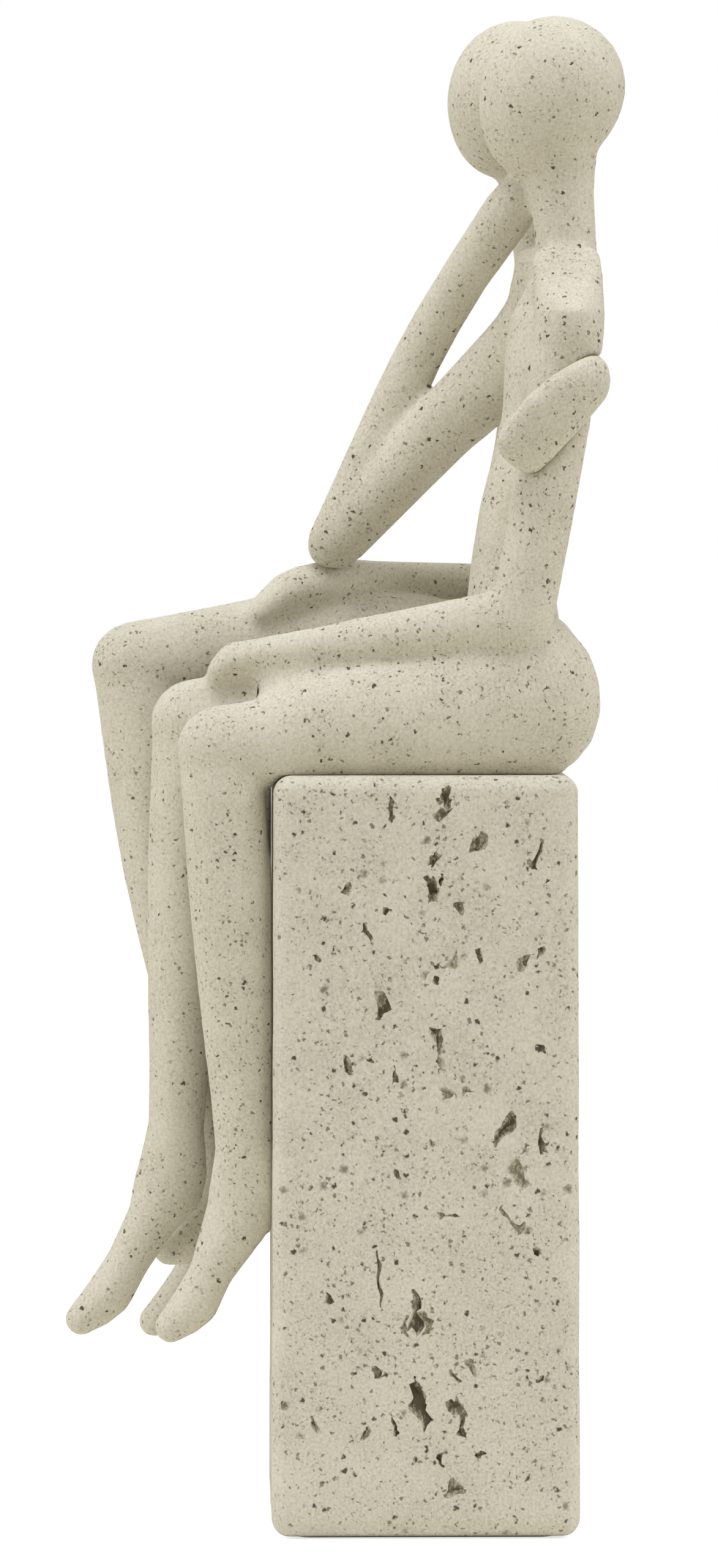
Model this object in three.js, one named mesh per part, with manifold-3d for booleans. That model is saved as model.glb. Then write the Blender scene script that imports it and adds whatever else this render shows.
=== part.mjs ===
// Couple figurine: two slender cast figures seated side by side on a tall plinth, in millimetres, +Z up.
// One figure muses with its chin on its hand, the other crosses its legs and puts an arm round it.
// The figures face -Y. The origin is in the middle of the underside, on the felt that the plinth stands on.
// Places on a figure are [x, y, z]: x to its left from its own middle, y back from a line figureBack behind
// the plinth's front edge, z above the seat.
import * as THREE from "three";
import { RoundedBoxGeometry } from "three/addons/geometries/RoundedBoxGeometry.js";
import { mergeVertices } from "three/addons/utils/BufferGeometryUtils.js";
import Module from "manifold-3d";

const wasm = await Module();
wasm.setup();

// Plinth: its underside, its height, and how far each side leans in from bottom to top to leave the mould
const plinthWidth = 72;
const plinthDepth = 61.2;
const plinthHeight = 150;
const plinthDraft = 0.5;
const plinthEdge = 3.6;
const plinthEdgeSteps = 3;

// Felt glued into a shallow recess under the plinth
const feltThickness = 1.2;
const feltProud = 0.4;
const feltInset = 5;
const feltCorner = 3;
const feltCornerSteps = 5;

// Joints between the pieces
const jointGap = 0.3;
const spigotRadius = 2.2;
const spigotReach = 6.5;
const spigotRoot = 1.5;
const dowelRadius = 2;
const dowelReach = 12;
const dowelBack = 47;

// Where the figures sit, and the spacing of each one's hips
const figureSpacing = 34;
const figureBack = 1.3;
const hipSpan = 16;
const hipBack = 50.5;

// How deep one form is tucked into the next, so that each casting is bedded on its neighbour
const seatSink = 0.7;
const outerArmTuck = 3.4;
const innerArmTuck = 5;
const roundArmTuck = 1.8;
const handPress = 1.4;
const elbowPress = 1.5;

// Heads: half width, half depth, half height, and how far the chin is tipped forward
const musingHead = { wide: 12.6, deep: 14, high: 16.5, tip: 0.44 };
const huggingHead = { wide: 12.4, deep: 13.9, high: 16.1, tip: 0.36 };
const eggTaper = 0.1;
const musingHeadPlace = [-1.7, 54.2, 133.6];
const huggingHeadPlace = [4.5, 48.6, 134.8];

// Torsos: half width across and half depth of each section, and its place
const torsoGirth = {
  seat: [13, 10],
  pelvis: [14, 10.4],
  waist: [8.8, 7.6],
  chest: [10.6, 7.6],
  shoulder: [11.6, 9],
  collar: [8.4, 6.8],
  neck: [5.2, 5.5],
  nape: [6.4, 7.2],
};
const musingTorsoPlaces = {
  seat: [0, 48.5, 4],
  pelvis: [0, 47.5, 19],
  waist: [0, 46.8, 45],
  chest: [-0.3, 52.5, 70],
  shoulders: [-0.6, 54.8, 86.5],
  collar: [-0.9, 57.7, 97.6],
  neck: [-1.1, 57.2, 107.5],
  nape: [-1.4, 56.4, 121.5],
};
const huggingTorsoPlaces = {
  seat: [0, 48.5, 4],
  pelvis: [0, 47.5, 19],
  waist: [0, 48.6, 45],
  chest: [0.8, 53.2, 70.7],
  shoulders: [1.6, 55, 86.3],
  collar: [2.4, 54.9, 97.7],
  neck: [3, 53.9, 107.5],
  nape: [3.8, 51.6, 122],
};

// Shoulders slope from the neck to a crisp corner over the arm: the slope, and the corner's height
const shoulderSlope = Math.PI / 4;
const cornerRise = 4.4;

// Legs: half width and half depth of each section, how far along it lies, and the places of the joints
const legGirth = {
  hip: [8.9, 16.4],
  thigh: [8.6, 12.1],
  lowerThigh: [7.9, 10.4],
  knee: [7.5, 8.7],
  underKnee: [7.2, 8.3],
  calf: [7, 8],
  shin: [6.2, 6.7],
  ankle: [5, 5.5],
  heel: [5, 7.2],
  instep: [5, 4],
  ball: [5, 4.6],
  toe: [3.9, 3.2],
};
const legShares = {
  thigh: 0.34,
  lowerThigh: 0.62,
  knee: 0.86,
  calf: 0.36,
  shin: 0.7,
  heel: 0.26,
  instep: 0.56,
  ball: 0.84,
};
const heelSet = 0.56;
const instepSet = 0.85;
const ballSet = 0.6;
const buttockRound = 13.4;
const musingOuterLegPlaces = { knee: [9, -10.9, 5], ankle: [8, -6.6, -74], toe: [6.5, -21, -109.4] };
const musingInnerLegPlaces = { knee: [-6.8, -16.2, 9.8], ankle: [-7.5, -20, -70.5], toe: [-9, -39, -109.5] };
const huggingCrossedLegPlaces = { knee: [10, -28.4, 21], ankle: [15, -9.8, -77], toe: [16, -21.4, -96.5] };
const huggingSupportLegPlaces = { knee: [2, -9.8, 8], ankle: [3.5, -9, -79], toe: [5.5, -24.5, -112] };
const crossedThighLift = 6;
const crossedHipLift = 0.4;
const crossedShinBow = 2.2;

// Arms: half width and half depth of each section
const outerArmGirth = {
  shoulder: [5.3, 6.8],
  upperArm: [5.3, 6.4],
  elbow: [5.2, 6.2],
  forearm: [4.6, 4.9],
  wrist: [4.2, 3.7],
  palm: [5, 3.3],
  tip: [3.9, 2.3],
};
const chinArmGirth = {
  shoulder: [5.3, 8.8],
  upperArm: [5.3, 6.9],
  elbow: [5.2, 5.8],
  forearm: [4.6, 4.8],
  wrist: [4.2, 4.7],
  palm: [5, 5.2],
  tip: [4.2, 4.2],
};
const huggingArmGirth = {
  shoulder: [4.6, 5.4],
  upperArm: [4.6, 5],
  elbow: [4.4, 4.4],
  forearm: [4.2, 3.6],
  wrist: [5, 4.2],
  palm: [5.6, 4.2],
  tip: [4.6, 3],
};
const roundArmGirth = {
  shoulder: [4.6, 5.4],
  upperArm: [4.6, 5],
  elbow: [4.4, 4.4],
  forearm: [4.4, 3.6],
  wrist: [5.8, 3.6],
  palm: [6.7, 3.2],
  tip: [5.9, 2.5],
};
const shoulderRound = 3.2;
const seatRound = 5;
const elbowPoint = 7.3;

// The first figure's outer arm, and where it lies along the thighs: x, y, and how deep it is bedded
const outerArmPlaces = {
  yoke: [6.5, 57.2, 102],
  shoulder: [57.5, 87.5],
  upper: [13.6, 53.8, 62],
  elbow: [13.4, 48.2, 31],
};
const outerForearmRests = {
  forearm: [8, 23.7, 0],
  wrist: [1.5, 0, 0],
  palm: [-1.5, -8, 0],
  tip: [-2.5, -11, 0.8],
};

// Its chin arm: the upper arm, the forearm, and the hand from the middle of the head
const chinArmPlaces = {
  yoke: [-6, 56.5, 101],
  shoulder: [53.6, 89.2],
  upper: [-17.5, 33.6, 68.8],
  elbow: [-25.5, 13],
  forearm: [-21.5, 28.4, 82.4],
  wrist: [-13.5, 39.3, 101.2],
};
const chinHandPlaces = { palm: [-6.8, -8.2, -22.8], tip: [-3.8, -6, -18.6] };

// The second figure's lap arm, whose elbow hangs a little lower than its forearm, and its hand on the thigh
const huggingLapArmPlaces = {
  yoke: [-4.4, 55, 101],
  shoulder: [54.2, 86],
  upper: [-13, 52, 62],
  elbow: [-14, 46],
};
const huggingElbowDrop = 1.4;
const huggingForearmRests = {
  forearm: [-6, 24, 0.6],
  wrist: [3, 12.5, 1.4],
  palm: [7, 3, 3.6],
  tip: [8.5, -3, 6],
};

// Its round arm from the first figure's middle, close behind the torso, and its hand from the palm's middle
const roundArmPlaces = {
  shoulder: [55.8, 86],
  upper: [-15, -1.8, 81],
  elbow: [-6, 0, 78.5],
  forearm: [6, 0, 77.5],
};
const roundHandPlaces = { wrist: [-2.6, -1, 77], palm: [0, -8, 71], tip: [-1.2, -14.8, 63] };
const roundHandRoll = 0.36;

// Resolution of the skins: sides round a limb, and how far a limb runs or turns from ring to ring
const limbSides = 16;
const torsoSides = 20;
const headSides = 20;
const headRings = 13;
const ringRun = 12;
const ringTurn = 0.3;
const triesPerSpan = 8;
const capRings = 4;
const roundSides = 20;

const acrossX = new THREE.Vector3(1, 0, 0);
const acrossZ = new THREE.Vector3(0, 0, 1);

function point(x, y, z) {
  return new THREE.Vector3(x, y, z);
}

function between(from, to, share) {
  return from.clone().lerp(to, share);
}

// Turns a closed geometry into a solid that can be joined and cut.
function solid(geometry) {
  geometry.deleteAttribute("normal");
  geometry.deleteAttribute("uv");
  const welded = mergeVertices(geometry);
  return new wasm.Manifold(new wasm.Mesh({
    numProp: 3,
    vertProperties: Float32Array.from(welded.attributes.position.array),
    triVerts: Uint32Array.from(welded.index.array),
  }));
}

// A closed skin over a stack of rings with a pole at each end.
function skin(rings, startPole, endPole) {
  const sides = rings[0].length;
  const places = [startPole, ...rings.flat(), endPole];
  const lastPole = places.length - 1;
  const faces = [];
  for (let side = 0; side < sides; side += 1) {
    const next = (side + 1) % sides;
    faces.push(0, 1 + next, 1 + side);
    for (let ring = 0; ring < rings.length - 1; ring += 1) {
      const low = 1 + ring * sides;
      const high = low + sides;
      faces.push(low + side, low + next, high + next);
      faces.push(low + side, high + next, high + side);
    }
    const top = 1 + (rings.length - 1) * sides;
    faces.push(lastPole, top + side, top + next);
  }
  const geometry = new THREE.BufferGeometry().setFromPoints(places);
  geometry.setIndex(faces);
  return solid(geometry);
}

// One elliptical ring, square to a path.
function ring(section, sides, shrink = 1, shift = 0) {
  const middle = section.at.clone().addScaledVector(section.along, shift);
  const places = [];
  for (let side = 0; side < sides; side += 1) {
    const turn = (side / sides) * 2 * Math.PI;
    places.push(
      middle
        .clone()
        .addScaledVector(section.wideAxis, section.wide * shrink * Math.cos(turn))
        .addScaledVector(section.deepAxis, section.deep * shrink * Math.sin(turn)),
    );
  }
  return places;
}

// Where the rings of a loft stand: closer together where its path bends.
function ringShares(path, spans) {
  const tries = spans * triesPerSpan;
  const shares = [0];
  let lastAt = path.getPoint(0);
  let lastAlong = path.getTangent(0);
  for (let step = 1; step < tries; step += 1) {
    const share = step / tries;
    const at = path.getPoint(share);
    const along = path.getTangent(share);
    if (at.distanceTo(lastAt) / ringRun + along.angleTo(lastAlong) / ringTurn >= 1) {
      shares.push(share);
      lastAt = at;
      lastAlong = along;
    }
  }
  shares.push(1);
  return shares;
}

// A closed loft through elliptical stations, each [place, [half width, half depth]], with rounded ends.
function loft(stations, { across = acrossX, sides = limbSides, grow = 0, startCap, endCap } = {}) {
  const path = new THREE.CatmullRomCurve3(stations.map(([place]) => place));
  const girths = new THREE.CatmullRomCurve3(stations.map(([, [wide, deep]]) => point(wide, deep, 0)));
  const sections = ringShares(path, stations.length - 1).map((share) => {
    const along = path.getTangent(share);
    const wideAxis = across.clone().addScaledVector(along, -across.dot(along)).normalize();
    const girth = girths.getPoint(share);
    return {
      at: path.getPoint(share),
      along,
      wideAxis,
      deepAxis: along.clone().cross(wideAxis),
      wide: girth.x + grow,
      deep: girth.y + grow,
    };
  });
  const first = sections[0];
  const last = sections[sections.length - 1];
  const startDepth = (startCap ?? Math.min(first.wide, first.deep) - grow) + grow;
  const endDepth = (endCap ?? Math.min(last.wide, last.deep) - grow) + grow;
  const startRings = [];
  const endRings = [];
  for (let cap = 1; cap < capRings; cap += 1) {
    const turn = (cap / capRings) * (Math.PI / 2);
    startRings.unshift(ring(first, sides, Math.cos(turn), -startDepth * Math.sin(turn)));
    endRings.push(ring(last, sides, Math.cos(turn), endDepth * Math.sin(turn)));
  }
  const body = sections.map((section) => ring(section, sides));
  const startPole = first.at.clone().addScaledVector(first.along, -startDepth);
  const endPole = last.at.clone().addScaledVector(last.along, endDepth);
  return skin([...startRings, ...body, ...endRings], startPole, endPole);
}

// An egg with its small end down and tipped forward.
function head(middle, size, grow = 0) {
  const along = point(0, Math.sin(size.tip), Math.cos(size.tip));
  const section = { along, wideAxis: acrossX, deepAxis: along.clone().cross(acrossX) };
  const rings = [];
  for (let step = 1; step < headRings; step += 1) {
    const turn = Math.PI * (step / headRings);
    const height = -Math.cos(turn);
    const eggShare = Math.sin(turn) * (1 + eggTaper * height);
    section.at = middle.clone().addScaledVector(along, height * (size.high + grow));
    section.wide = (size.wide + grow) * eggShare;
    section.deep = (size.deep + grow) * eggShare;
    rings.push(ring(section, headSides));
  }
  const low = middle.clone().addScaledVector(along, -size.high - grow);
  const high = middle.clone().addScaledVector(along, size.high + grow);
  return skin(rings, low, high);
}

// Stations of a thigh from the buttock to the knee. A seated thigh lies on the seat, and a crossed one is
// lifted clear of it between its hip and its knee.
function thighStations({ hip, knee, lift = 0 }) {
  const crossed = lift > 0;
  const liftAt = (share) => lift * Math.sin(Math.PI * share);
  const thighAt = (share) => between(hip, knee, share).addScaledVector(acrossZ, liftAt(share));
  const lyingAt = (name) => {
    const place = thighAt(legShares[name]);
    if (!crossed) {
      place.z = legGirth[name][1] - seatSink;
    }
    return [place, legGirth[name]];
  };
  return [
    [hip, legGirth.hip],
    lyingAt("thigh"),
    lyingAt("lowerThigh"),
    [thighAt(legShares.knee), legGirth.knee],
    [knee, legGirth.knee],
  ];
}

// Stations of a shin and foot from the knee to the toe. The foot hangs with its toes pointed down.
function shinStations({ knee, ankle, toe, bow = 0 }) {
  const girth = legGirth;
  const heelBack = heelSet * girth.heel[1];
  const instepBack = instepSet * girth.instep[1];
  const ballBack = ballSet * girth.ball[1];
  const shin = ankle.clone().sub(knee).normalize();
  const foot = toe.clone().sub(ankle).normalize();
  const front = shin.clone().cross(acrossX).normalize();
  const rear = acrossX.clone().cross(foot).normalize();
  const bowAt = (share) => bow * Math.sin(Math.PI * share);
  const shinAt = (share) => between(knee, ankle, share).addScaledVector(front, bowAt(share));
  const soleAt = (share, back) => between(ankle, toe, share).addScaledVector(rear, back);
  return [
    [knee, girth.underKnee],
    [shinAt(legShares.calf), girth.calf],
    [shinAt(legShares.shin), girth.shin],
    [ankle, girth.ankle],
    [soleAt(legShares.heel, heelBack), girth.heel],
    [soleAt(legShares.instep, instepBack), girth.instep],
    [soleAt(legShares.ball, ballBack), girth.ball],
    [toe, girth.toe],
  ];
}

// A leg as a thigh and a shin that share a rounded knee
function leg(pose, grow = 0) {
  const thigh = loft(thighStations(pose), { grow, startCap: buttockRound, endCap: legGirth.knee[1] });
  const shin = loft(shinStations(pose), { grow, startCap: legGirth.underKnee[1] });
  return thigh.add(shin);
}

// How high a thigh's top lies above the seat, at a depth behind the seat's front edge.
function thighTop(pose, back) {
  const stations = thighStations(pose);
  const after = stations.findIndex(([place]) => place.y <= back);
  const [nearPlace, nearGirth] = stations[after];
  const [farPlace, farGirth] = stations[after - 1];
  const share = (back - nearPlace.y) / (farPlace.y - nearPlace.y);
  const nearTop = nearPlace.z + nearGirth[1];
  const farTop = farPlace.z + farGirth[1];
  return nearTop + share * (farTop - nearTop);
}

// The room outside a shoulder's slope, on one side of the torso
function outsideSlope(corner, side, grow) {
  const size = plinthWidth;
  const geometry = new THREE.BoxGeometry(size, size, size);
  geometry.translate(0, 0, size / 2 + grow);
  geometry.rotateY(side * shoulderSlope);
  geometry.translate(...corner.toArray());
  return solid(geometry);
}

// An arm as an upper arm and a forearm that share a rounded elbow. Where it has a yoke, it starts at the neck
// and its top is pared down to the shoulder's slope.
function arm({ yoke, shoulder, upper, elbow, forearm, wrist, palm, tip, across, side }, girth, grow = 0) {
  const start = yoke ? [[yoke, girth.shoulder]] : [];
  const upperArm = loft([
    ...start,
    [shoulder, girth.shoulder],
    [upper, girth.upperArm],
    [elbow, girth.elbow],
  ], { across, grow, startCap: shoulderRound, endCap: elbowPoint });
  const lowerArm = loft([
    [elbow, girth.elbow],
    [forearm, girth.forearm],
    [wrist, girth.wrist],
    [palm, girth.palm],
    [tip, girth.tip],
  ], { across, grow });
  if (!yoke) {
    return upperArm.add(lowerArm);
  }
  const corner = shoulder.clone().add(point(side * girth.shoulder[0], 0, cornerRise));
  return upperArm.subtract(outsideSlope(corner, side, grow)).add(lowerArm);
}

function torso({ seat, pelvis, waist, chest, shoulders, collar, neck, nape }, grow = 0) {
  const girth = torsoGirth;
  return loft([
    [seat, girth.seat],
    [pelvis, girth.pelvis],
    [waist, girth.waist],
    [chest, girth.chest],
    [shoulders, girth.shoulder],
    [collar, girth.collar],
    [neck, girth.neck],
    [nape, girth.nape],
  ], { sides: torsoSides, grow, startCap: seatRound });
}

function rod(from, to, radius) {
  const length = from.distanceTo(to);
  const geometry = new THREE.CylinderGeometry(radius, radius, length, roundSides);
  const turn = new THREE.Quaternion().setFromUnitVectors(point(0, 1, 0), to.clone().sub(from).normalize());
  geometry.applyQuaternion(turn);
  geometry.translate(...between(from, to, 0.5).toArray());
  return solid(geometry);
}

// Poses: each place moved to its figure, and tied to what it touches
const figures = { musing: figureSpacing / 2, hugging: -figureSpacing / 2 };
const placed = (figure, [x, y, z]) => point(figures[figure] + x, figureBack + y, z);
const allPlaced = (figure, places) =>
  Object.fromEntries(Object.entries(places).map(([name, place]) => [name, placed(figure, place)]));
const hipHigh = legGirth.hip[1] - seatSink;

const musingTorso = allPlaced("musing", musingTorsoPlaces);
const huggingTorso = allPlaced("hugging", huggingTorsoPlaces);
const musingHeadMiddle = placed("musing", musingHeadPlace);
const huggingHeadMiddle = placed("hugging", huggingHeadPlace);

const musingOuterLeg = {
  hip: placed("musing", [hipSpan / 2, hipBack, hipHigh]),
  ...allPlaced("musing", musingOuterLegPlaces),
};
const musingInnerLeg = {
  hip: placed("musing", [-hipSpan / 2, hipBack, hipHigh]),
  ...allPlaced("musing", musingInnerLegPlaces),
};
const huggingCrossedLeg = {
  hip: placed("hugging", [-hipSpan / 2, hipBack, hipHigh + crossedHipLift]),
  ...allPlaced("hugging", huggingCrossedLegPlaces),
  lift: crossedThighLift,
  bow: crossedShinBow,
};
const huggingSupportLeg = {
  hip: placed("hugging", [hipSpan / 2, hipBack, hipHigh]),
  ...allPlaced("hugging", huggingSupportLegPlaces),
};

// The middle of a shoulder: as far out of the torso's middle as the arm's tuck lets it stand
function shoulderOf({ shoulders }, girth, tuck, side, [y, z]) {
  const out = torsoGirth.shoulder[0] + girth.shoulder[0] - tuck;
  return point(shoulders.x + side * out, figureBack + y, z);
}

// A place on a thigh, for a limb section that is bedded in it to some depth
function restingOn(figure, leg, girth, [x, y, bedded]) {
  const place = placed(figure, [x, y, 0]);
  place.z = thighTop(leg, place.y) + girth[1] - bedded;
  return place;
}

// The second figure's free arm lies along its crossed thigh.
const huggingRestOf = (name) =>
  restingOn("hugging", huggingCrossedLeg, huggingArmGirth[name], huggingForearmRests[name]);
const huggingForearm = huggingRestOf("forearm");
const [huggingElbowX, huggingElbowY] = huggingLapArmPlaces.elbow;
const huggingLapArmPose = {
  side: -1,
  yoke: placed("hugging", huggingLapArmPlaces.yoke),
  shoulder: shoulderOf(huggingTorso, huggingArmGirth, innerArmTuck, -1, huggingLapArmPlaces.shoulder),
  upper: placed("hugging", huggingLapArmPlaces.upper),
  elbow: placed("hugging", [huggingElbowX, huggingElbowY, huggingForearm.z - huggingElbowDrop]),
  forearm: huggingForearm,
  wrist: huggingRestOf("wrist"),
  palm: huggingRestOf("palm"),
  tip: huggingRestOf("tip"),
};

// The first figure's chin arm stands on that forearm and carries the head.
const chinElbowHigh =
  huggingLapArmPose.wrist.z + huggingArmGirth.wrist[1] + jointGap + chinArmGirth.elbow[1] - elbowPress;
const [chinElbowX, chinElbowY] = chinArmPlaces.elbow;
const chinArmPose = {
  side: -1,
  yoke: placed("musing", chinArmPlaces.yoke),
  shoulder: shoulderOf(musingTorso, chinArmGirth, innerArmTuck, -1, chinArmPlaces.shoulder),
  upper: placed("musing", chinArmPlaces.upper),
  elbow: placed("musing", [chinElbowX, chinElbowY, chinElbowHigh]),
  forearm: placed("musing", chinArmPlaces.forearm),
  wrist: placed("musing", chinArmPlaces.wrist),
  palm: musingHeadMiddle.clone().add(point(...chinHandPlaces.palm)),
  tip: musingHeadMiddle.clone().add(point(...chinHandPlaces.tip)),
};

// Its outer arm lies on both thighs.
const outerRestOf = (name, leg) => restingOn("musing", leg, outerArmGirth[name], outerForearmRests[name]);
const outerArmPose = {
  side: 1,
  yoke: placed("musing", outerArmPlaces.yoke),
  shoulder: shoulderOf(musingTorso, outerArmGirth, outerArmTuck, 1, outerArmPlaces.shoulder),
  upper: placed("musing", outerArmPlaces.upper),
  elbow: placed("musing", outerArmPlaces.elbow),
  forearm: outerRestOf("forearm", musingOuterLeg),
  wrist: outerRestOf("wrist", musingInnerLeg),
  palm: outerRestOf("palm", musingInnerLeg),
  tip: outerRestOf("tip", musingInnerLeg),
};

// The second figure's other arm goes round the first one's back, and its hand lies on the outer arm.
const roundArmY = musingTorso.shoulders.y + torsoGirth.shoulder[1] - roundArmTuck;
const roundHandX = outerArmPose.upper.x + outerArmGirth.upperArm[0] + roundArmGirth.palm[1] - handPress;
const behindTorso = ([x, y, z]) => point(figures.musing + x, roundArmY + y, z);
const roundHand = ([x, y, z]) => point(roundHandX + x, roundArmY + y, z);
const roundArmPose = {
  shoulder: shoulderOf(huggingTorso, roundArmGirth, innerArmTuck, 1, roundArmPlaces.shoulder),
  upper: behindTorso(roundArmPlaces.upper),
  elbow: behindTorso(roundArmPlaces.elbow),
  forearm: behindTorso(roundArmPlaces.forearm),
  wrist: roundHand(roundHandPlaces.wrist),
  palm: roundHand(roundHandPlaces.palm),
  tip: roundHand(roundHandPlaces.tip),
  across: point(Math.sin(roundHandRoll), 0, Math.cos(roundHandRoll)),
};

// Plinth, in the figures' own coordinates, drawn in towards its top by its draft
function plinthBlock(grow = 0) {
  const geometry = new RoundedBoxGeometry(
    plinthWidth + 2 * grow,
    plinthDepth + 2 * grow,
    plinthHeight + 2 * grow,
    plinthEdgeSteps,
    plinthEdge + grow,
  );
  const { position } = geometry.attributes;
  for (let corner = 0; corner < position.count; corner += 1) {
    const draft = plinthDraft * (position.getZ(corner) / plinthHeight + 0.5);
    position.setX(corner, position.getX(corner) * (1 - draft / (plinthWidth / 2)));
    position.setY(corner, position.getY(corner) * (1 - draft / (plinthDepth / 2)));
  }
  geometry.translate(0, plinthDepth / 2, -plinthHeight / 2);
  return solid(geometry);
}

// A flat plate with rounded corners, lying under the middle of the plinth
function plate(inset, thickness, underside) {
  const halfWidth = plinthWidth / 2 - inset;
  const halfDepth = plinthDepth / 2 - inset;
  const corner = feltCorner;
  const outline = new THREE.Shape();
  outline.absarc(halfWidth - corner, halfDepth - corner, corner, 0, Math.PI / 2);
  outline.absarc(corner - halfWidth, halfDepth - corner, corner, Math.PI / 2, Math.PI);
  outline.absarc(corner - halfWidth, corner - halfDepth, corner, Math.PI, 1.5 * Math.PI);
  outline.absarc(halfWidth - corner, corner - halfDepth, corner, 1.5 * Math.PI, 2 * Math.PI);
  const geometry = new THREE.ExtrudeGeometry(outline, {
    depth: thickness,
    bevelEnabled: false,
    curveSegments: feltCornerSteps,
  });
  geometry.translate(0, plinthDepth / 2, underside);
  return solid(geometry);
}

// A spigot on the arm's shoulder and the socket for it in the torso, both along X
function spigot(shoulder, torsoMiddleX, grow = 0) {
  const side = Math.sign(shoulder.x - torsoMiddleX);
  const inner = torsoMiddleX + side * (torsoGirth.shoulder[0] - spigotReach - grow);
  const from = shoulder.clone().add(point(side * spigotRoot, 0, 0));
  return rod(from, point(inner, shoulder.y, shoulder.z), spigotRadius + grow);
}

function spigotsOf({ shoulder }, torsoPose) {
  return {
    peg: spigot(shoulder, torsoPose.shoulders.x),
    socket: spigot(shoulder, torsoPose.shoulders.x, jointGap),
  };
}

function figureBody(torsoPose, headMiddle, headSize, legs, grow = 0) {
  return legs.reduce(
    (body, pose) => body.add(leg(pose, grow)),
    torso(torsoPose, grow).add(head(headMiddle, headSize, grow)),
  );
}

const musingBody = (grow) =>
  figureBody(musingTorso, musingHeadMiddle, musingHead, [musingOuterLeg, musingInnerLeg], grow);
const huggingBody = (grow) =>
  figureBody(huggingTorso, huggingHeadMiddle, huggingHead, [huggingCrossedLeg, huggingSupportLeg], grow);

// Dowels, one under each buttock, so that no figure can turn on its seat
const dowels = [
  ["musing_seat_dowel_left", figures.musing + hipSpan / 2],
  ["musing_seat_dowel_right", figures.musing - hipSpan / 2],
  ["hugging_seat_dowel_left", figures.hugging + hipSpan / 2],
  ["hugging_seat_dowel_right", figures.hugging - hipSpan / 2],
].map(([name, x]) => {
  const dowel = (grow) =>
    rod(point(x, dowelBack, -dowelReach - grow), point(x, dowelBack, dowelReach + grow), dowelRadius + grow);
  return { name, shape: dowel(0), bore: dowel(jointGap) };
});
const drill = (shape) => dowels.reduce((left, { bore }) => left.subtract(bore), shape);

// Each casting is cut by what it lies on, with the joint gap between them.
const bed = plinthBlock(jointGap);
const musingGrown = musingBody(jointGap);
const huggingGrown = huggingBody(jointGap);
const roundArmGrown = arm(roundArmPose, roundArmGirth, jointGap);
const huggingLapArmGrown = arm(huggingLapArmPose, huggingArmGirth, jointGap);

const outerSpigot = spigotsOf(outerArmPose, musingTorso);
const chinSpigot = spigotsOf(chinArmPose, musingTorso);
const huggingLapSpigot = spigotsOf(huggingLapArmPose, huggingTorso);
const roundSpigot = spigotsOf(roundArmPose, huggingTorso);

const musingFigure = drill(musingBody(0).subtract(bed))
  .subtract(outerSpigot.socket)
  .subtract(chinSpigot.socket);
const huggingFigure = drill(huggingBody(0).subtract(bed))
  .subtract(musingGrown)
  .subtract(huggingLapSpigot.socket)
  .subtract(roundSpigot.socket);
const roundArm = arm(roundArmPose, roundArmGirth)
  .subtract(huggingGrown)
  .subtract(musingGrown)
  .add(roundSpigot.peg);
const huggingLapArm = arm(huggingLapArmPose, huggingArmGirth)
  .subtract(huggingGrown)
  .add(huggingLapSpigot.peg);
const outerArm = arm(outerArmPose, outerArmGirth)
  .subtract(musingGrown)
  .subtract(roundArmGrown)
  .add(outerSpigot.peg);
const chinArm = arm(chinArmPose, chinArmGirth)
  .subtract(musingGrown)
  .subtract(huggingGrown)
  .subtract(huggingLapArmGrown)
  .subtract(roundArmGrown)
  .add(chinSpigot.peg);

const feltUnderside = -plinthHeight - feltProud;
const felt = plate(feltInset, feltThickness, feltUnderside);
const recess = plate(feltInset - jointGap, feltThickness + jointGap, feltUnderside);
const plinth = drill(plinthBlock()).subtract(recess);

const stone = { color: 0xd8d2bb, roughness: 0.92, metalness: 0 };
const steel = { color: 0xb9bbbd, roughness: 0.35, metalness: 1 };
const wool = { color: 0x4a4640, roughness: 1, metalness: 0 };

function piece(name, shape, finish) {
  const { vertProperties, triVerts } = shape.getMesh();
  const geometry = new THREE.BufferGeometry();
  geometry.setAttribute("position", new THREE.BufferAttribute(vertProperties, 3));
  geometry.setIndex(new THREE.BufferAttribute(triVerts, 1));
  const mesh = new THREE.Mesh(geometry, new THREE.MeshStandardMaterial(finish));
  mesh.name = name;
  return mesh;
}

const figurine = new THREE.Group();
const seated = new THREE.Group();
seated.position.set(0, -plinthDepth / 2, plinthHeight + feltProud);
figurine.add(seated);
seated.add(piece("base_felt", felt, wool));
seated.add(piece("plinth", plinth, stone));
seated.add(piece("musing_figure_body", musingFigure, stone));
seated.add(piece("musing_figure_lap_arm", outerArm, stone));
seated.add(piece("musing_figure_chin_arm", chinArm, stone));
seated.add(piece("hugging_figure_body", huggingFigure, stone));
seated.add(piece("hugging_figure_round_arm", roundArm, stone));
seated.add(piece("hugging_figure_lap_arm", huggingLapArm, stone));
for (const { name, shape } of dowels) {
  seated.add(piece(name, shape, steel));
}

export default figurine;
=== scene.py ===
"""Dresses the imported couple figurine: a cast stone plinth, a seated couple, felt below and dowels inside."""
import math
import random

import bmesh
import bpy
from mathutils import Matrix, Vector, noise
from mathutils.bvhtree import BVHTree


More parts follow.
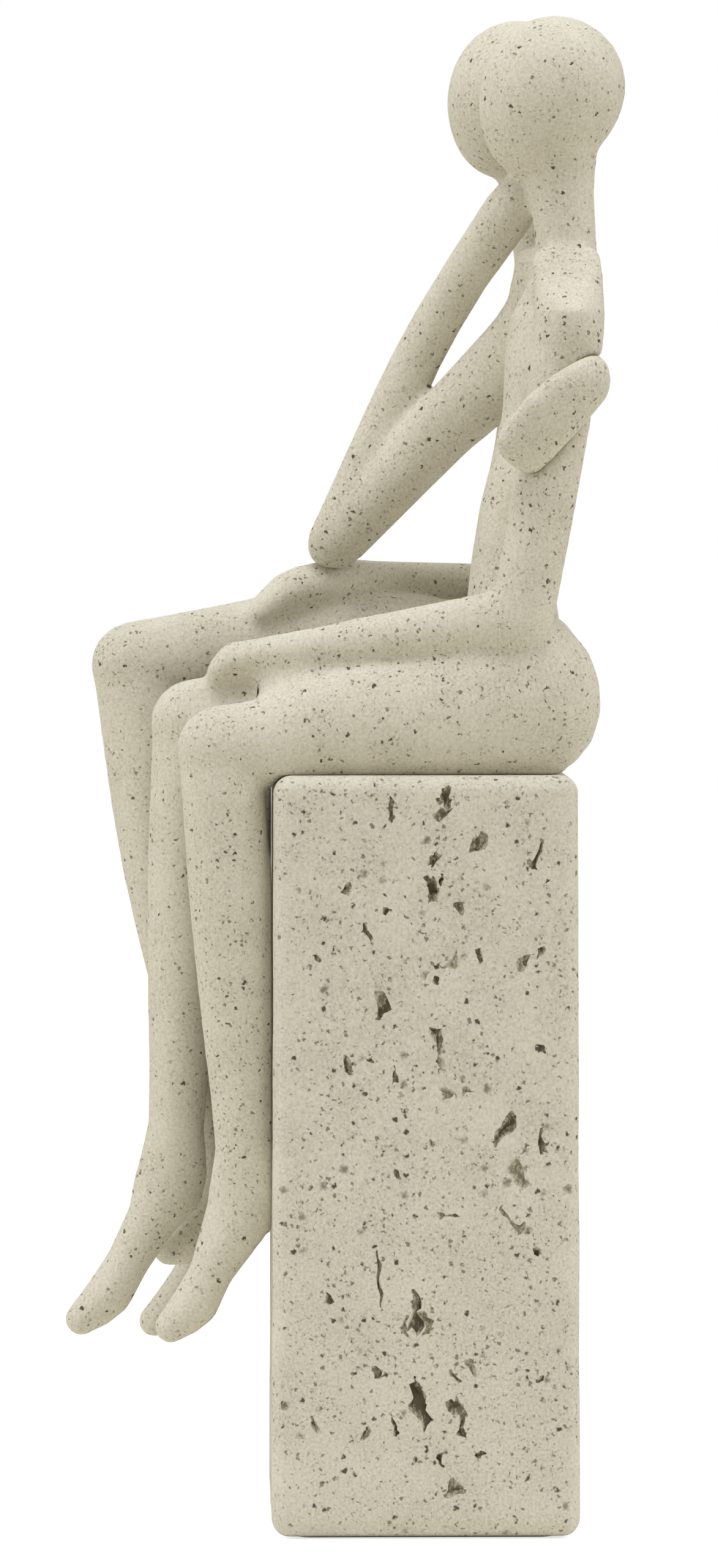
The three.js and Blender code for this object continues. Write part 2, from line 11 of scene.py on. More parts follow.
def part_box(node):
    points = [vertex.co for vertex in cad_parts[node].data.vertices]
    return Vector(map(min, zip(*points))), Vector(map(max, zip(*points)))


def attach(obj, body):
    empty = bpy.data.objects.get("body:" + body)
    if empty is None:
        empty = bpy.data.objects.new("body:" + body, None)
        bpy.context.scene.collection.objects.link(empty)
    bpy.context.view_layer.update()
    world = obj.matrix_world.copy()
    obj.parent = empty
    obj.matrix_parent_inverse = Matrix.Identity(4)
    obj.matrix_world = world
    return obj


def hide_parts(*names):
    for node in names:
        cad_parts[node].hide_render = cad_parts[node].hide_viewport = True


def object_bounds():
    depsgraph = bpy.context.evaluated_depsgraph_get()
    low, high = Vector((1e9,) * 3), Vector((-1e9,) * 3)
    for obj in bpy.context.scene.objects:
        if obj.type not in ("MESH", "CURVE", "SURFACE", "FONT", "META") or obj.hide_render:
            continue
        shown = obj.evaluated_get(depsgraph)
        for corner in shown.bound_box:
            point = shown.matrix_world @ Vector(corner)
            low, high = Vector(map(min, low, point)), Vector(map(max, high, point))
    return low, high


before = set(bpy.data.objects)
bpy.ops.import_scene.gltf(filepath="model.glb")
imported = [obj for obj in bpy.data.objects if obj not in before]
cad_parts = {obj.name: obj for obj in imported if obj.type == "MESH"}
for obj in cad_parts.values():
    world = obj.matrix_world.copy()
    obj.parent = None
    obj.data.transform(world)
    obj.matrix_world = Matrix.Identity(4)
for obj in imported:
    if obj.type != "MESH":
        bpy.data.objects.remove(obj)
cad_low, cad_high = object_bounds()

# Deeper in, the holes are painted darker still: partly the wash and partly painted shade.
# The plinth is a tall block, cast in a box mould from cement and stone dust, with arrises rubbed round by hand.
# Air left holes and short upright cracks in every face, and a thin brown wash has settled in them.
# Its top carries the figures, and its underside is let in for the felt.
MM = 0.001
plinth_low, plinth_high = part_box("plinth")
block_middle = (plinth_low + plinth_high) / 2
block_half = (plinth_high - plinth_low) / 2
up = Vector((0, 0, 1))
mould_draft = 0.5 * MM
arris_radius = 3.6 * MM
arris_segments = 6
face_cell = 6 * MM
face_wander = 0.3 * MM
wander_span = 14 * MM
smooth_under = math.radians(28)

# Marks in the face that the photograph shows, in millimetres: how far behind the front edge and above the
# underside, then length, width and depth, and last the lean from upright in degrees
seen_marks = [
    (34.9, 145.9, 4.8, 1.3, 0.9, 10), (33, 145, 2, 1.1, 0.6, -30), (34.6, 143.2, 1.8, 2.6, 0.5, 0),
    (23.6, 143.3, 5.2, 0.9, 0.6, -6), (41.8, 137, 2.3, 2.2, 0.6, 20), (32.5, 133.8, 3.6, 1.5, 0.6, 15),
    (31.8, 127.4, 5.6, 1.3, 1, 0), (30.9, 129.6, 2.2, 0.8, 0.6, -30), (33.6, 130, 2.6, 0.8, 0.6, 20),
    (52.7, 134.6, 6.3, 0.7, 0.7, 15), (52, 132.8, 1.9, 1.2, 0.7, 10), (53.8, 128.8, 1.9, 1.4, 0.6, 20),
    (13.8, 127, 2.6, 2.2, 0.7, 30), (22.7, 123.1, 1.9, 1.2, 0.6, 10), (37, 124.2, 2, 1.2, 0.6, 15),
    (18.7, 119.2, 4.2, 0.9, 0.7, -15), (9.1, 114.4, 2.4, 0.9, 0.6, -60), (36.4, 113.8, 3.6, 3.2, 0.4, 0),
    (41.3, 114.6, 2.3, 1.7, 0.8, 0), (49.8, 113.9, 2.8, 1.8, 0.4, 0), (53, 115, 1.8, 1.4, 0.8, 70),
    (32.6, 112.7, 1.5, 1.1, 0.6, 0), (32.6, 110.3, 2, 1, 0.6, -20), (20.8, 104.5, 3.3, 2.6, 0.7, 10),
    (33.4, 96.8, 10, 2.1, 0.7, 4), (53, 96.6, 2.1, 1.6, 0.7, 0), (15.4, 92.8, 4.3, 1.3, 0.7, -20),
    (19.8, 94.4, 2.5, 1.3, 0.6, 0), (24.1, 91.2, 3.1, 1.2, 0.6, 10), (34.2, 87.6, 2.3, 2.6, 0.4, 0),
    (38.9, 88, 2.5, 1.5, 0.5, 70), (46.3, 80.5, 8.2, 1.5, 0.9, 22), (53.6, 77.6, 3.7, 1.9, 0.8, -20),
    (48.7, 72.2, 2.2, 4.4, 0.3, 0), (47.3, 63, 5.8, 2.3, 0.5, -38), (35.3, 64, 3, 1.8, 0.5, 80),
    (31.7, 77.9, 2.2, 1.4, 0.5, 80), (24.7, 71.6, 2.7, 0.9, 0.5, 0), (21.2, 51.7, 12.6, 0.7, 0.6, -6),
    (28.3, 43.6, 10.6, 2, 0.9, -4), (30.4, 42.6, 5, 1.6, 0.4, -10), (26.4, 42, 4.6, 0.9, 0.4, 6),
    (11.9, 47, 3.1, 1.2, 0.6, 0), (52.7, 56.6, 1.6, 1.4, 0.8, 0), (29.1, 27.1, 11.6, 1.8, 1.1, -11),
    (36.4, 26.2, 5.4, 1.9, 0.7, -12), (37.6, 21.9, 5.8, 1.1, 0.8, -15), (8.8, 22.6, 3.7, 1.1, 0.6, 0),
    (24.4, 21.6, 4.4, 1, 0.7, -14), (18.4, 20.5, 3.4, 1.2, 0.6, 5), (33.6, 16.1, 3.4, 1.2, 0.8, 35),
    (41, 16.7, 3, 1.2, 0.7, -75), (36.5, 9.5, 3.4, 2, 0.5, -20), (35.9, 32, 3.2, 0.9, 0.5, -35),
    (39.9, 34, 3.5, 1.5, 0.4, -10), (20.5, 33.1, 2.6, 1, 0.6, 0), (52.6, 31.7, 2.1, 1, 0.5, 20),
]
# Faces that the photograph doesn't show get marks of the same kinds at random: outward axis, and how many
unseen_faces = [(Vector((-1, 0, 0)), 58), (Vector((0, -1, 0)), 64), (Vector((0, 1, 0)), 64), (up, 22)]
unseen_lengths = (1.6, 1.9, 2.3, 2.8, 3.4, 5.5, 8.5)
length_spread = (0.8, 1.2)
pit_slimness = (0.3, 0.8)
crack_length = 3 * MM
crack_width = (0.8, 1.9)
unseen_depth = (0.4, 0.9)
unseen_lean = 22
mark_margin = 6 * MM
mark_seed = 11

# Ragging eats into a mark, so those listed are cut wider and deeper than they are to show
seen_widening = 1.25
seen_deepening = 0.2
rag_share = 0.5
largest_rag = 0.85 * MM
rag_span = 0.9 * MM
bend_span = 2.8 * MM
depth_rag_share = 0.4
fine_mark = 2.2 * MM


class Wire:
    """A shader socket to reckon with: an operator on it adds the Math node that works the result out."""

    def __init__(self, tree, socket=None):
        self.tree = tree
        self.socket = socket

    def node(self, kind, settings, inputs, output=0):
        """Adds a node: its own settings first, then the values or wires of its sockets."""
        made = self.tree.nodes.new(kind)
        for name, value in settings.items():
            setattr(made, name, value)
        for name, value in inputs.items():
            if isinstance(value, Wire):
                self.tree.links.new(value.socket, made.inputs[name])
            else:
                made.inputs[name].default_value = value
        return Wire(self.tree, made.outputs[output])

    def math(self, operation, first, second=0.0):
        return self.node("ShaderNodeMath", {"operation": operation}, {0: first, 1: second})

    def __add__(self, other):
        return self.math("ADD", self, other)

    def __mul__(self, other):
        return self.math("MULTIPLY", self, other)

    def __sub__(self, other):
        return self.math("SUBTRACT", self, other)

    def __rsub__(self, other):
        return self.math("SUBTRACT", other, self)

    def __gt__(self, other):
        return self.math("GREATER_THAN", self, other)

    def clamped(self):
        return self.node("ShaderNodeClamp", {}, {"Value": self})

    __radd__ = __add__
    __rmul__ = __mul__


def colour(red, green, blue):
    """A colour read in screen values from 0 to 255, as the linear one that a shader takes."""
    return tuple(((value / 255 + 0.055) / 1.055) ** 2.4 for value in (red, green, blue)) + (1.0,)


def blend_colours(factor, low, high):
    return factor.node("ShaderNodeMix", {"data_type": "RGBA"}, {0: factor, 6: low, 7: high}, 2)


def mottle(start, place, span, detail, output=0):
    """Noise whose patches are about a span across: output 0 is its value, and 1 its colour."""
    return start.node("ShaderNodeTexNoise", {}, {"Vector": place, "Scale": 1 / span, "Detail": detail}, output)


def new_material(name):
    """A material with an empty shader, and the wire that its nodes start from."""
    made = bpy.data.materials.new(name)
    made.use_nodes = True
    return made, Wire(made.node_tree)


def finish_shader(made, plain, varying):
    """Sets the shader's own sockets: numbers that are the same all over, and wires for what varies."""
    shader = made.node_tree.nodes["Principled BSDF"]
    for name, value in plain.items():
        shader.inputs[name].default_value = value
    for name, wire in varying.items():
        made.node_tree.links.new(wire.socket, shader.inputs[name])


def swing(value, contrast):
    """A noise's swing to either side of its middle, times a contrast."""
    return (value - 0.5) * contrast


smallest_grain = 0.3
grain_spread = 0.75
crisp_grain_edge = 0.15
soft_grain_radius = 2 * MM


def grains(start, place, cell, share, radius):
    """Grains in a casting: one at most to a cell, in a share of the cells that may be a wire.

    A grain has between a third of the radius and the whole of it. Most are small, and large ones are softer.
    """
    cells = {"Vector": place, "Scale": 1 / cell}
    distance = start.node("ShaderNodeTexVoronoi", {}, cells, "Distance")
    lot = start.node("ShaderNodeTexVoronoi", {}, cells, "Color")
    chance = start.node("ShaderNodeSeparateColor", {}, {"Color": lot}, "Red")
    size = start.node("ShaderNodeSeparateColor", {}, {"Color": lot}, "Green")
    reach = (size * size * grain_spread + smallest_grain) * (radius / cell)
    edge = (crisp_grain_edge + radius / soft_grain_radius) * radius / cell
    inside = ((reach - distance) * (1 / edge)).clamped()
    return inside * (chance > 1.0 - share)


dark_grain = colour(70, 64, 50)
brown_grain = colour(112, 104, 84)
grey_grain = colour(158, 152, 132)
hole_wash = colour(160, 152, 130)
hole_dark_wash_and_shade = colour(96, 88, 70)
warp_span = 0.8 * MM
warp_reach = 1.3 * MM
cloud_span = 11 * MM
cloud_contrast = 0.8
sand_span = 0.55 * MM
sand_contrast = 2.2
middle_tone = 0.4
sand_relief = 0.5
crumb_span = 0.6 * MM
streak_squeeze = (1, 1, 0.35)
wash_depth = 0.14 * MM
wash_contrast = 2.5
wash_cover = 0.85
dark_depth = 0.7 * MM
dark_contrast = 2.6
dark_lack = 0.15


def cast_stone(name, body, shade, layers, relief, crowding=2.0):
    """Matte cast stone mottled in clouds and sand, with grains in it, and a brown wash and painted shade in its
    holes.

    For each kind of grain, layers hold the cell, the share of cells, the radius, the strength and the colour.
    relief is how deep the grains lie, and crowding how much the clouds gather them in some places.
    """
    made, start = new_material(name)
    place = start.node("ShaderNodeTexCoord", {}, {}, "Object")
    warp = mottle(start, place, warp_span, 1.0, output=1)
    shift = start.node("ShaderNodeVectorMath", {"operation": "SUBTRACT"}, {0: warp, 1: (0.5, 0.5, 0.5)})
    shift = start.node("ShaderNodeVectorMath", {"operation": "SCALE"}, {0: shift, "Scale": warp_reach})
    uneven = start.node("ShaderNodeVectorMath", {"operation": "ADD"}, {0: place, 1: shift})
    cloud = mottle(start, place, cloud_span, 3.0)
    sand = mottle(start, place, sand_span, 3.0)
    tone = (swing(cloud, cloud_contrast) + swing(sand, sand_contrast) + middle_tone).clamped()
    painted = blend_colours(tone, body, shade)
    pitted = sand * sand_relief
    for cell, share, radius, strength, grain in layers:
        spots = grains(start, uneven, cell, swing(cloud, crowding) + share, radius)
        painted = blend_colours(spots * strength, painted, grain)
        pitted = pitted - spots * strength
    sunk = start.node("ShaderNodeAttribute", {"attribute_name": "sunk"}, {}, "Fac")
    streaks = start.node("ShaderNodeMapping", {}, {"Vector": uneven, "Scale": streak_squeeze})
    crumbs = mottle(start, streaks, crumb_span, 2.0)
    within = (sunk * (1 / wash_depth)).clamped()
    washed = within * (swing(crumbs, wash_contrast) + wash_cover).clamped()
    # Deeper in a hole the colour goes darker still: partly the brown wash, partly painted shade
    gathered_wash_and_shade = within * (sunk * (1 / dark_depth) + swing(crumbs, dark_contrast) - dark_lack).clamped()
    painted = blend_colours(gathered_wash_and_shade, blend_colours(washed, painted, hole_wash), hole_dark_wash_and_shade)
    bump = start.node("ShaderNodeBump", {}, {"Strength": 0.5, "Distance": relief, "Height": pitted})
    roughness = sand * 0.2 + 0.78
    finish_shader(
        made, {"Specular IOR Level": 0.3}, {"Base Color": painted, "Roughness": roughness, "Normal": bump}
    )
    return made


plinth_stone = cast_stone(
    "plinth_cast_stone",
    colour(225, 221, 208),
    colour(196, 191, 176),
    [
        (0.8 * MM, 0.75, 0.34 * MM, 0.6, grey_grain),
        (1.2 * MM, 0.6, 0.5 * MM, 0.8, brown_grain),
        (2.0 * MM, 0.5, 0.66 * MM, 0.95, dark_grain),
        (4.0 * MM, 0.4, 1.1 * MM, 0.8, brown_grain),
    ],
    0.2 * MM,
)


def object_of(name, shape, materials):
    """A bmesh as an object in the scene."""
    mesh = bpy.data.meshes.new(name)
    shape.to_mesh(mesh)
    shape.free()
    for material in materials:
        mesh.materials.append(material)
    made = bpy.data.objects.new(name, mesh)
    bpy.context.scene.collection.objects.link(made)
    return made


def apply_modifiers(made):
    """Puts what the object's modifiers make into its mesh."""
    graph = bpy.context.evaluated_depsgraph_get()
    finished = bpy.data.meshes.new_from_object(made.evaluated_get(graph), depsgraph=graph)
    made.modifiers.clear()
    made.data = finished


def seat_piece(made, slot, *nodes):
    """The object rides on the part's one body, and stands for its CAD nodes."""
    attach(made, "root")
    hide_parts(*nodes)


def slab(low, high):
    """A box between two corners."""
    made = bmesh.new()
    bmesh.ops.create_cube(made, size=1)
    bmesh.ops.scale(made, vec=high - low, verts=made.verts)
    bmesh.ops.translate(made, vec=(low + high) / 2, verts=made.verts)
    return made


def round_edges(shape, edges, radius, segments):
    """Rounds the given edges of a shape, in so many flats."""
    bmesh.ops.bevel(
        shape, geom=edges, offset=radius, offset_type="OFFSET", segments=segments, profile=0.5,
        affect="EDGES", material=-1,
    )


def cut_hole(cutter, centre, outward, length, width, depth, lean):
    """Adds one ragged lens to the cutter, half sunk in a face, with its length upright but for the lean."""
    upright = up if abs(outward.z) < 0.5 else Vector((0, 1, 0))
    sideways = upright.cross(outward)
    face_turn = Matrix((sideways, upright, outward)).transposed().to_4x4()
    stretch = Matrix.Diagonal((width / 2, length / 2, depth, 1))
    leaning = Matrix.Rotation(-math.radians(lean), 4, "Z")
    matrix = Matrix.Translation(centre) @ face_turn @ leaning @ stretch
    fineness = 3 if max(length, width) > fine_mark else 2
    made = bmesh.ops.create_icosphere(cutter, subdivisions=fineness, radius=1, matrix=matrix)
    rag = min(rag_share * width, largest_rag)
    for vert in made["verts"]:
        push = noise.noise_vector(vert.co / rag_span) * rag + noise.noise_vector(vert.co / bend_span) * width
        inward = outward * push.dot(outward)
        deeper = inward.normalized() * noise.noise(vert.co / rag_span) * depth_rag_share * depth
        vert.co += push - inward + deeper


def drafted(place):
    """The same place on the block once its sides lean in towards the top, as the mould's do."""
    lean_in = mould_draft * (place.z - plinth_low.z) / (2 * block_half.z)
    off = place - block_middle
    return place - Vector((off.x / block_half.x, off.y / block_half.y, 0)) * lean_in


chance = random.Random(mark_seed)
noise.seed_set(mark_seed)
hole_cutter = bmesh.new()
for behind, above, length, width, depth, lean in seen_marks:
    centre = drafted(Vector((plinth_high.x, plinth_low.y + behind * MM, plinth_low.z + above * MM)))
    wide = seen_widening * width * MM
    deep = (depth + seen_deepening) * MM
    cut_hole(hole_cutter, centre, Vector((1, 0, 0)), length * MM, wide, deep, lean)
for outward, count in unseen_faces:
    for _ in range(count):
        spread = Vector(chance.uniform(-1, 1) * (half - mark_margin) for half in block_half)
        flat = spread - outward * spread.dot(outward)
        face_out = Vector(axis * half for axis, half in zip(outward, block_half))
        length = chance.choice(unseen_lengths) * chance.uniform(*length_spread) * MM
        if length < crack_length:
            width = length * chance.uniform(*pit_slimness)
        else:
            width = chance.uniform(*crack_width) * MM
        depth = chance.uniform(*unseen_depth) * MM
        centre = drafted(block_middle + flat + face_out)
        cut_hole(hole_cutter, centre, outward, length, width, depth, chance.gauss(0, unseen_lean))

block = slab(plinth_low, plinth_high)
round_edges(block, block.edges[:], arris_radius, arris_segments)
for axis in range(3):
    along = Vector(axis == other for other in range(3))
    cells = round(2 * block_half[axis] / face_cell)
    for step in range(1, cells):
        level = plinth_low + (plinth_high - plinth_low) * (step / cells)
        everything = block.verts[:] + block.edges[:] + block.faces[:]
        bmesh.ops.bisect_plane(block, geom=everything, plane_co=level, plane_no=along)
for vert in block.verts:
    vert.co = drafted(vert.co)
block.normal_update()
for vert in block.verts:
    worn = face_wander * (0.5 + 0.5 * noise.noise(vert.co / wander_span))
    vert.co -= Vector((vert.normal.x, vert.normal.y, 0)) * worn

# The carved mesh remembers how far each place lies under the uncarved faces; the wash and painted shade follow
# that
uncarved = BVHTree.FromBMesh(block)
plinth = object_of("plinth_casting", block, [plinth_stone])
cutter = object_of("hole_cutter", hole_cutter, [plinth_stone])
carve = plinth.modifiers.new("holes", "BOOLEAN")
carve.operation = "DIFFERENCE"
carve.solver = "EXACT"
carve.use_self = True
carve.object = cutter
apply_modifiers(plinth)
bpy.data.objects.remove(cutter)
sunk = plinth.data.attributes.new("sunk", "FLOAT", "POINT")
for vert, depth_there in zip(plinth.data.vertices, sunk.data):
    depth_there.value = uncarved.find_nearest(vert.co)[3]
plinth.data.shade_smooth()
plinth.data.set_sharp_from_angle(angle=smooth_under)
seat_piece(plinth, "plinth_cast", "plinth")

# The figures are hand-finished stone castings: each body with its own two arms, set in at the shoulders by
# spigots. The joints are filled and rubbed down, so that one matte skin runs over all three, and so are the
# hollow under the lap hand and the hairlines between a figure and the plinth.
weld_distance = 0.001 * MM
skin_voxel = 0.7 * MM
skin_swell = 0.2 * MM
skin_rubs = 18
seat_bed = 1.5 * MM
musing_calf_bed = 1 * MM
hugging_calf_bed = 4 * MM

# Nape and lap hand run into what they meet
nape = Vector((15.6, 31.5, 273)) * MM
lap_hand = Vector((24, -36, 173)) * MM
blend_span = 9 * MM
blend_rubs = 60
lap_hollow = Vector((20, -32, 168.5)) * MM
hollow_span = 13 * MM
hollow_fill = 3.4 * MM

# The musing figure's shoulder slopes to an edge over the upper arm, which is spared when the rest is rubbed
crisp_corner = Vector((34, 28.3, 243)) * MM
crisp_span = 6 * MM
crisp_spared = 0.85
shelf_push = Vector((1.8, 0, -2.6)) * MM
shelf_span = 8 * MM
edge_line = Vector((34, 27.5, 241.6)) * MM
edge_rise = 1.7 * MM
edge_fade = Vector((8, 9, 7)) * MM
figure_stone = cast_stone(
    "figure_cast_stone",
    colour(225, 221, 207),
    colour(197, 192, 175),
    [
        (0.9 * MM, 0.75, 0.36 * MM, 0.6, grey_grain),
        (1.1 * MM, 0.6, 0.42 * MM, 0.8, brown_grain),
        (1.7 * MM, 0.55, 0.5 * MM, 0.95, dark_grain),
    ],
    0.12 * MM,
    crowding=3.0,
)


def bedded(place, calf_bed):
    """The same place on a skin once a hairline between it and the plinth's top or front face is filled."""
    over_top = place.z - plinth_high.z
    if over_top >= 0:
        if over_top < seat_bed and plinth_low.y < place.y < plinth_high.y:
            return Vector((place.x, place.y, plinth_high.z + over_top ** 3 / seat_bed ** 2))
        return place
    face = drafted(Vector((0, plinth_low.y, place.z))).y
    before_face = face - place.y
    if 0 < before_face < calf_bed and abs(place.x) < plinth_high.x:
        below_arris = min(1, -over_top / calf_bed)
        pull = (before_face - before_face ** 3 / calf_bed ** 2) * below_arris
        return Vector((place.x, place.y + pull, place.z))
    return place


def edged(place):
    """The same place on a skin once the near shoulder's slope ends in an edge over the upper arm."""
    off = place - edge_line
    if off.x < -edge_fade.x or abs(off.z) > edge_fade.z:
        return place
    share = min(1, 1 + off.x / edge_fade.x) * (1 - abs(off.z) / edge_fade.z)
    return place + Vector((edge_rise * share * math.exp(-((off.y / edge_fade.y) ** 2)), 0, 0))


def nearness(place, spot, span):
    """How near a place is to a spot: 1 on it, and hardly anything beyond twice the span."""
    return math.exp(-(((place - spot).length / span) ** 2))


def rubbed_skin(name, calf_bed, *nodes):
    """One skin over a figure's castings: swelled to close their joints, made even, rubbed down and fitted."""
    rough = bmesh.new()
    for node in nodes:
        rough.from_mesh(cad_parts[node].data)
    bmesh.ops.remove_doubles(rough, verts=rough.verts, dist=weld_distance)
    rough.normal_update()
    for vert in rough.verts:
        vert.co += vert.normal * (skin_swell + hollow_fill * nearness(vert.co, lap_hollow, hollow_span))
    made = object_of(name, rough, [figure_stone])
    even = made.modifiers.new("even", "REMESH")
    even.mode = "VOXEL"
    even.voxel_size = skin_voxel
    even.use_smooth_shade = True
    apply_modifiers(made)
    rubbed = made.vertex_groups.new(name="rubbed")
    blended = made.vertex_groups.new(name="blended")
    for vert in made.data.vertices:
        spared = crisp_spared * nearness(vert.co, crisp_corner, crisp_span)
        rubbed.add([vert.index], 1 - spared, "REPLACE")
        close = max(nearness(vert.co, nape, blend_span), nearness(vert.co, lap_hand, blend_span))
        blended.add([vert.index], close, "REPLACE")
    for group, rubs in ((rubbed, skin_rubs), (blended, blend_rubs)):
        rub = made.modifiers.new("rub", "SMOOTH")
        rub.factor = 0.5
        rub.iterations = rubs
        rub.vertex_group = group.name
    apply_modifiers(made)
    # All normals are worked out anew after a place is written, so they are read before the first is
    normals = [vert.normal.copy() for vert in made.data.vertices]
    for vert, normal in zip(made.data.vertices, normals):
        shelf = shelf_push * nearness(vert.co, crisp_corner, shelf_span)
        shrunk = normal * hollow_fill * nearness(vert.co, lap_hollow, hollow_span)
        place = bedded(edged(vert.co - shrunk + shelf), calf_bed)
        vert.co = [min(max(value, low), high) for value, low, high in zip(place, cad_low, cad_high)]
    seat_piece(made, "figure_cast", *nodes)


rubbed_skin(
    "musing_figure_casting", musing_calf_bed,
    "musing_figure_body", "musing_figure_lap_arm", "musing_figure_chin_arm",
)
rubbed_skin(
    "hugging_figure_casting", hugging_calf_bed,
    "hugging_figure_body", "hugging_figure_lap_arm", "hugging_figure_round_arm",
)

# The felt is a sheet of pressed grey wool, glued into the shallow recess under the plinth and standing proud
# of it, so that the stone doesn't scratch a shelf.
felt_low, felt_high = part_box("base_felt")
felt_corner = 3 * MM
felt_rim = 0.15 * MM
level_under = 0.5 * MM
tuft_span = 1.2 * MM
tuft_share = 0.6
hair_span = 0.25 * MM
deep_wool_painted_shade = colour(62, 58, 52)
raised_wool_painted_light = colour(98, 93, 85)


def wool_felt(name):
    """Pressed wool, matt and even, with tufts and short hairs, painted darker in the nap's hollows as painted
    shade.
    """
    made, start = new_material(name)
    place = start.node("ShaderNodeTexCoord", {}, {}, "Object")
    tufts = mottle(start, place, tuft_span, 6.0)
    hair = start.node("ShaderNodeTexNoise", {}, {"Vector": place, "Scale": 1 / hair_span, "Distortion": 2.0})
    nap = tufts * tuft_share + hair * (1 - tuft_share)
    bump = start.node("ShaderNodeBump", {}, {"Strength": 0.7, "Distance": 0.2 * MM, "Height": nap})
    # The nap's height sets its colour: painted shade in the hollows and painted light on the raised tufts
    wool = blend_colours(nap, deep_wool_painted_shade, raised_wool_painted_light)
    finish_shader(made, {"Roughness": 1.0, "Sheen Weight": 0.4}, {"Base Color": wool, "Normal": bump})
    return made


def rise(edge):
    """How much higher one end of an edge is than the other."""
    return abs(edge.verts[0].co.z - edge.verts[1].co.z)


sheet = slab(felt_low, felt_high)
round_edges(sheet, [edge for edge in sheet.edges if rise(edge) > level_under], felt_corner, 5)
round_edges(sheet, [edge for edge in sheet.edges if rise(edge) < level_under], felt_rim, 2)
felt = object_of("base_felt_sheet", sheet, [wool_felt("pressed_wool_felt")])
seat_piece(felt, "felt", "base_felt")

# Four dowels of ground steel rod pin the figures to the plinth, one under each buttock, so that none can turn.
# They are glued into bores and hidden inside.
ring_squeeze = (60, 60, 9000)
line_steel = colour(176, 178, 180)
bright_steel = colour(206, 207, 208)


def ground_steel(name):
    """Steel with the fine rings round it that grinding leaves."""
    made, start = new_material(name)
    place = start.node("ShaderNodeTexCoord", {}, {}, "Object")
    rings = start.node("ShaderNodeMapping", {}, {"Vector": place, "Scale": ring_squeeze})
    lines = start.node("ShaderNodeTexNoise", {}, {"Vector": rings, "Scale": 1.0, "Detail": 2.0})
    bump = start.node("ShaderNodeBump", {}, {"Strength": 0.2, "Distance": 0.02 * MM, "Height": lines})
    steel = blend_colours(lines, line_steel, bright_steel)
    roughness = lines * 0.2 + 0.25
    finish_shader(made, {"Metallic": 1.0}, {"Base Color": steel, "Roughness": roughness, "Normal": bump})
    return made


dowel_steel = ground_steel("dowel_ground_steel")
for figure in ("musing", "hugging"):
    for side in ("left", "right"):
        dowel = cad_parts[f"{figure}_seat_dowel_{side}"]
        dowel.data.materials.clear()
        dowel.data.materials.append(dowel_steel)

# The figurine stands on a wide floor of matt white paper, which shows white and keeps its shadow. The light
# that it throws back up at the figurine is cream, and weaker from farther off.
floor_reach = 4.0
near_paper = colour(245, 242, 232)
far_paper = colour(190, 182, 160)
shadow_paper = (0.8, 0.8, 0.8, 1)
floor_glow = 0.7
fade_start = 0.2
fade_width = 0.6


def seen_rays(tree):
    """1 for rays that show the surroundings themselves, and 0 for those that only carry their light."""
    light_path = tree.nodes.new("ShaderNodeLightPath")
    camera_ray, glossy_ray, transmission_ray = (
        Wire(tree, light_path.outputs[f"Is {kind} Ray"]) for kind in ("Camera", "Glossy", "Transmission")
    )
    return (camera_ray + glossy_ray + transmission_ray).clamped()


floor_bmesh = bmesh.new()
bmesh.ops.create_grid(floor_bmesh, x_segments=1, y_segments=1, size=floor_reach)
paper, start = new_material("white_floor_paper")
seen = seen_rays(paper.node_tree)
place = start.node("ShaderNodeTexCoord", {}, {}, "Object")
away = start.node("ShaderNodeVectorMath", {"operation": "LENGTH"}, {0: place}, "Value")
beyond = ((away - fade_start) * (1 / fade_width)).clamped()
near_floor = start.node("ShaderNodeBsdfDiffuse", {}, {"Color": near_paper})
far_floor = start.node("ShaderNodeBsdfDiffuse", {}, {"Color": far_paper})
plain = start.node("ShaderNodeMixShader", {}, {0: beyond, 1: near_floor, 2: far_floor})
dim = start.node("ShaderNodeBsdfDiffuse", {}, {"Color": shadow_paper})
glow = start.node("ShaderNodeEmission", {}, {"Color": (1, 1, 1, 1), "Strength": floor_glow})
white = start.node("ShaderNodeAddShader", {}, {0: dim, 1: glow})
surface = start.node("ShaderNodeMixShader", {}, {0: seen, 1: plain, 2: white})
paper.node_tree.links.new(surface.socket, paper.node_tree.nodes["Material Output"].inputs["Surface"])
floor = object_of("studio_floor", floor_bmesh, [paper])

# The surroundings show white. They light the figurine evenly in cream, and a little less from the camera's
# side, as a room does that is lit from over and beyond the table.
fill_colour = (1, 0.97, 0.9, 1)
fill_strength = 0.45
viewer_strength = 0.32
viewer_width = 1.2
world = bpy.data.worlds.new("white_room")
bpy.context.scene.world = world
world.use_nodes = True
room = Wire(world.node_tree)
seen = seen_rays(world.node_tree)
aim = room.node("ShaderNodeTexCoord", {}, {}, "Generated")
viewer_side = (room.node("ShaderNodeSeparateXYZ", {}, {"Vector": aim}, "X") * viewer_width).clamped()
bright = room.node("ShaderNodeBackground", {}, {"Color": fill_colour, "Strength": fill_strength})
dim = room.node("ShaderNodeBackground", {}, {"Color": fill_colour, "Strength": viewer_strength})
fill = room.node("ShaderNodeMixShader", {}, {0: viewer_side, 1: bright, 2: dim})
white = room.node("ShaderNodeBackground", {}, {"Color": (1, 1, 1, 1), "Strength": 1.0})
surface = room.node("ShaderNodeMixShader", {}, {0: seen, 1: fill, 2: white})
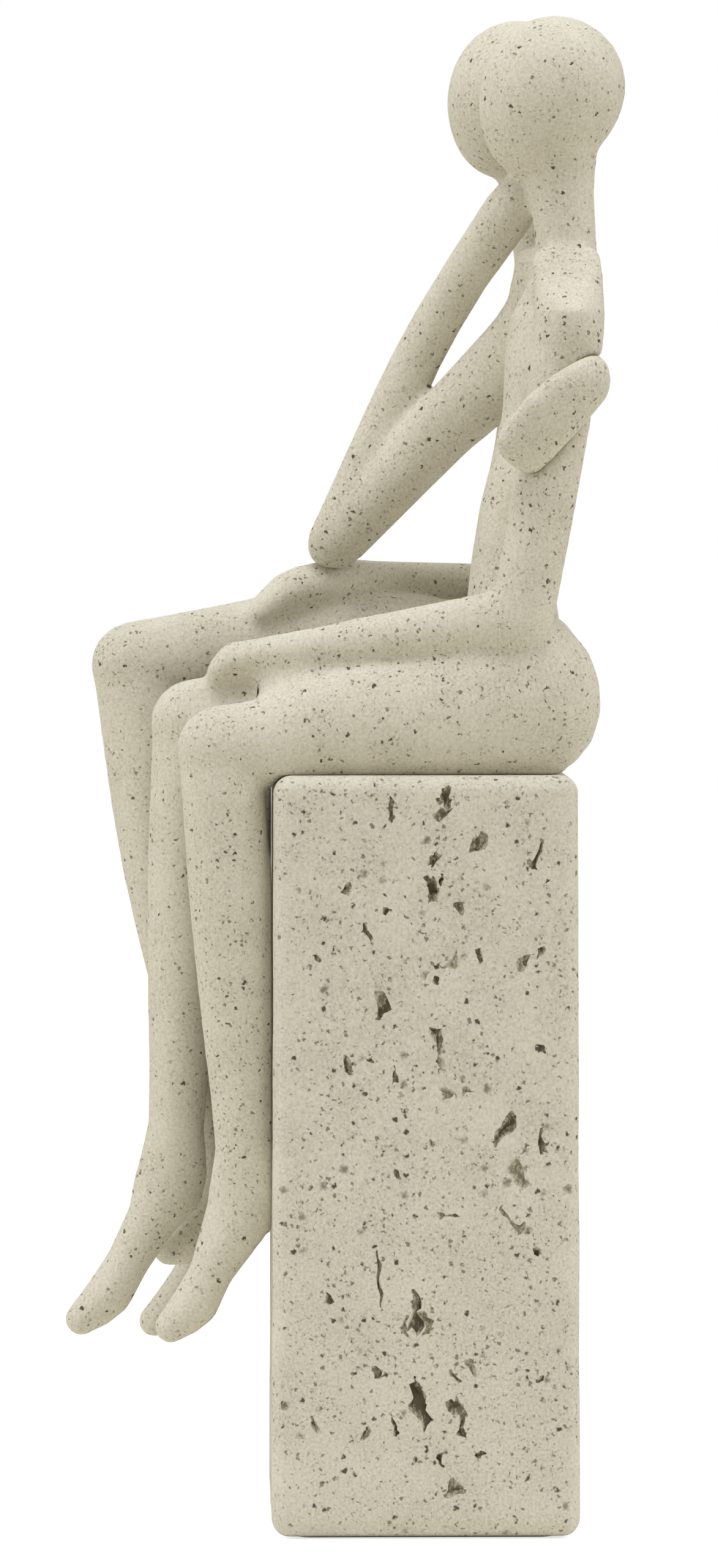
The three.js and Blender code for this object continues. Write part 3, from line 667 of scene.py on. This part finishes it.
world.node_tree.links.new(surface.socket, world.node_tree.nodes["World Output"].inputs["Surface"])

# The camera stands off the figures' left side, a metre and a half away, and looks down by two degrees. Its
# lens gives the photograph's scale on the plinth's near face.
frame_height = 2560
photo_scale = 0.12 * MM
camera_distance = 1.5
camera_azimuth = math.radians(88.9)
camera_elevation = math.radians(2.0)
near_face_out = 36 * MM
picture_middle = Vector((0, -12.57 * MM, 147.63 * MM))


def towards(azimuth, elevation):
    """The way from the figurine to something at that bearing, where 0 is the front and 90 its left side."""
    return Vector((
        math.sin(azimuth) * math.cos(elevation),
        -math.cos(azimuth) * math.cos(elevation),
        math.sin(elevation),
    ))


camera_data = bpy.data.cameras.new("camera")
camera = bpy.data.objects.new("camera", camera_data)
bpy.context.scene.collection.objects.link(camera)
bpy.context.scene.camera = camera
back = towards(camera_azimuth, camera_elevation)
camera.location = picture_middle + back * camera_distance
camera.rotation_euler = back.to_track_quat("Z", "Y").to_euler()
focal_pixels = (camera_distance - near_face_out) / photo_scale
camera_data.lens = camera_data.sensor_width * focal_pixels / frame_height
camera_data.clip_start = 0.05
camera_data.clip_end = 20


# Three wide round lamps light it softly: the strongest overhead, which leaves the undersides of arms and legs
# in shade, one before the figures and one behind them.
def soft_lamp(name, azimuth, elevation, distance, size, watts):
    """A disc that shines at the figurine, at a bearing and a height in degrees and a distance in metres."""
    lamp_data = bpy.data.lights.new(name, "AREA")
    lamp_data.shape = "DISK"
    lamp_data.size = size
    lamp_data.energy = watts
    lamp = bpy.data.objects.new(name, lamp_data)
    bpy.context.scene.collection.objects.link(lamp)
    way = towards(math.radians(azimuth), math.radians(elevation))
    lamp.location = picture_middle + way * distance
    lamp.rotation_euler = way.to_track_quat("Z", "Y").to_euler()


soft_lamp("overhead_lamp", azimuth=85, elevation=72, distance=1.6, size=1.2, watts=14.5)
soft_lamp("front_lamp", azimuth=10, elevation=22, distance=1.8, size=1.0, watts=9)
soft_lamp("rear_lamp", azimuth=165, elevation=25, distance=1.8, size=1.0, watts=8)

bpy.context.scene.view_settings.view_transform = "Standard"
